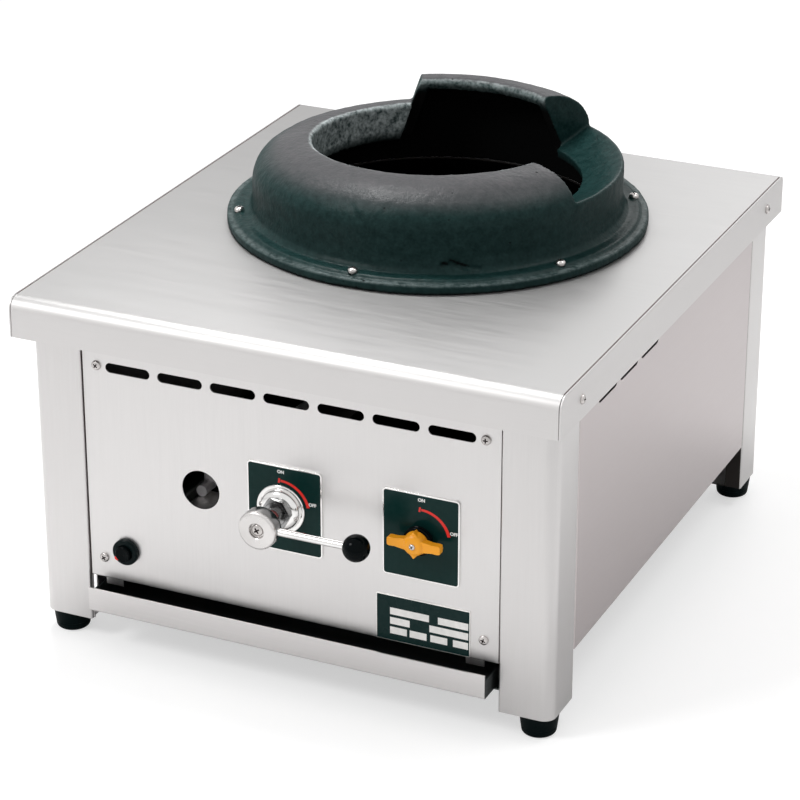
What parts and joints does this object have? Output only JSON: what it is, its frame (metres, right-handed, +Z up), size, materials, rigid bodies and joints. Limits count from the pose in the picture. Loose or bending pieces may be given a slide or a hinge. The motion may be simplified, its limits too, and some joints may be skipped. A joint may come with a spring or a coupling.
{
  "type": "wok range",
  "caption": "Countertop gas wok range: stainless body, black cast wok ring with notch and hood, lever valve, pilot tap, igniter and drip tray.",
  "frame": {"origin": "on the floor plane of the feet, under the centre of the overall box", "axes": "+Z up, -Y towards the cook (lever side), +X to the cook's right"},
  "size_m": [0.4544, 0.558, 0.372],
  "materials": {
    "stainless": "satin brushed stainless sheet",
    "cast_iron": "black, slightly rough casting",
    "chrome": "polished",
    "black_gloss": "glossy black",
    "dial_black": "glossy very dark green-black with printed marks",
    "knob_yellow": "moulded yellow-orange",
    "rubber": "matt black",
    "brass": "machined",
    "zinc_steel": "bright plated steel",
    "pipe": "dull grey steel pipe",
    "label": "satin plate with blank fields",
    "ceramic": "off-white glazed insulator"
  },
  "bodies": {
    "base": {"burner_bowl": "cast_iron", "burner_bracket": "zinc_steel", "burner_cap": "cast_iron", "electrode": "ceramic", "electrode_clip": "zinc_steel", "fire_pot": "stainless", "foot_front_left": "rubber", "foot_front_right": "rubber", "foot_rear_left": "rubber", "foot_rear_right": "rubber", "foot_screws": "zinc_steel", "front_panel": "stainless", "front_panel_screws": "zinc_steel", "gas_inlet": "brass", "gas_manifold": "pipe", "igniter_body": "black_gloss", "igniter_nut": "zinc_steel", "injector": "brass", "main_dial_plate": "dial_black", "main_valve_body": "brass", "mixing_tube": "cast_iron", "neck_nut": "chrome", "pilot_bracket": "zinc_steel", "pilot_burner": "zinc_steel", "pilot_dial_plate": "dial_black", "pilot_tube": "zinc_steel", "pilot_valve_body": "brass", "post_front_left": "stainless", "post_front_right": "stainless", "post_rear_left": "stainless", "post_rear_right": "stainless", "rating_plate": "label", "rear_panel": "stainless", "rear_panel_screws": "zinc_steel", "ring_screws": "zinc_steel", "side_panel_left": "stainless", "side_panel_right": "stainless", "skirt_screws": "zinc_steel", "top_plate": "stainless", "tray_runner_left": "stainless", "tray_runner_right": "stainless", "valve_escutcheon": "chrome", "wok_ring": "cast_iron"},
    "lever": {"main_valve_stem": "brass", "lever_hub": "chrome", "lever_rod": "chrome", "lever_ball": "black_gloss", "lever_screw": "zinc_steel"},
    "pilot_turn": {"pilot_stem": "brass", "knob_collar": "black_gloss", "pilot_knob": "knob_yellow", "pilot_knob_screw": "zinc_steel"},
    "button": {"igniter_button": "black_gloss"},
    "tray": {"drip_tray": "stainless"},
    "shutter": {"air_shutter": "zinc_steel"}
  },
  "joints": [
    {"name": "lever_turn", "type": "hinge", "parent": "base", "child": "lever", "pos_m": [-0.005, -0.268, 0.15], "axis": [0, -1, 0], "range_deg": [0, 90]},
    {"name": "pilot_knob_turn", "type": "hinge", "parent": "base", "child": "pilot_turn", "pos_m": [0.1105, -0.25, 0.15], "axis": [0, -1, 0], "range_deg": [0, 90]},
    {"name": "igniter_push", "type": "slide", "parent": "base", "child": "button", "axis": [0, 1, 0], "range_m": [0, 0.004], "stiffness_N_per_m": 800},
    {"name": "tray_slide", "type": "slide", "parent": "base", "child": "tray", "axis": [0, -1, 0], "range_m": [0, 0.36]},
    {"name": "air_shutter_turn", "type": "hinge", "parent": "base", "child": "shutter", "pos_m": [-0.005, -0.14, 0.15], "axis": [0, 1, 0], "range_deg": [0, 60]}
  ]
}
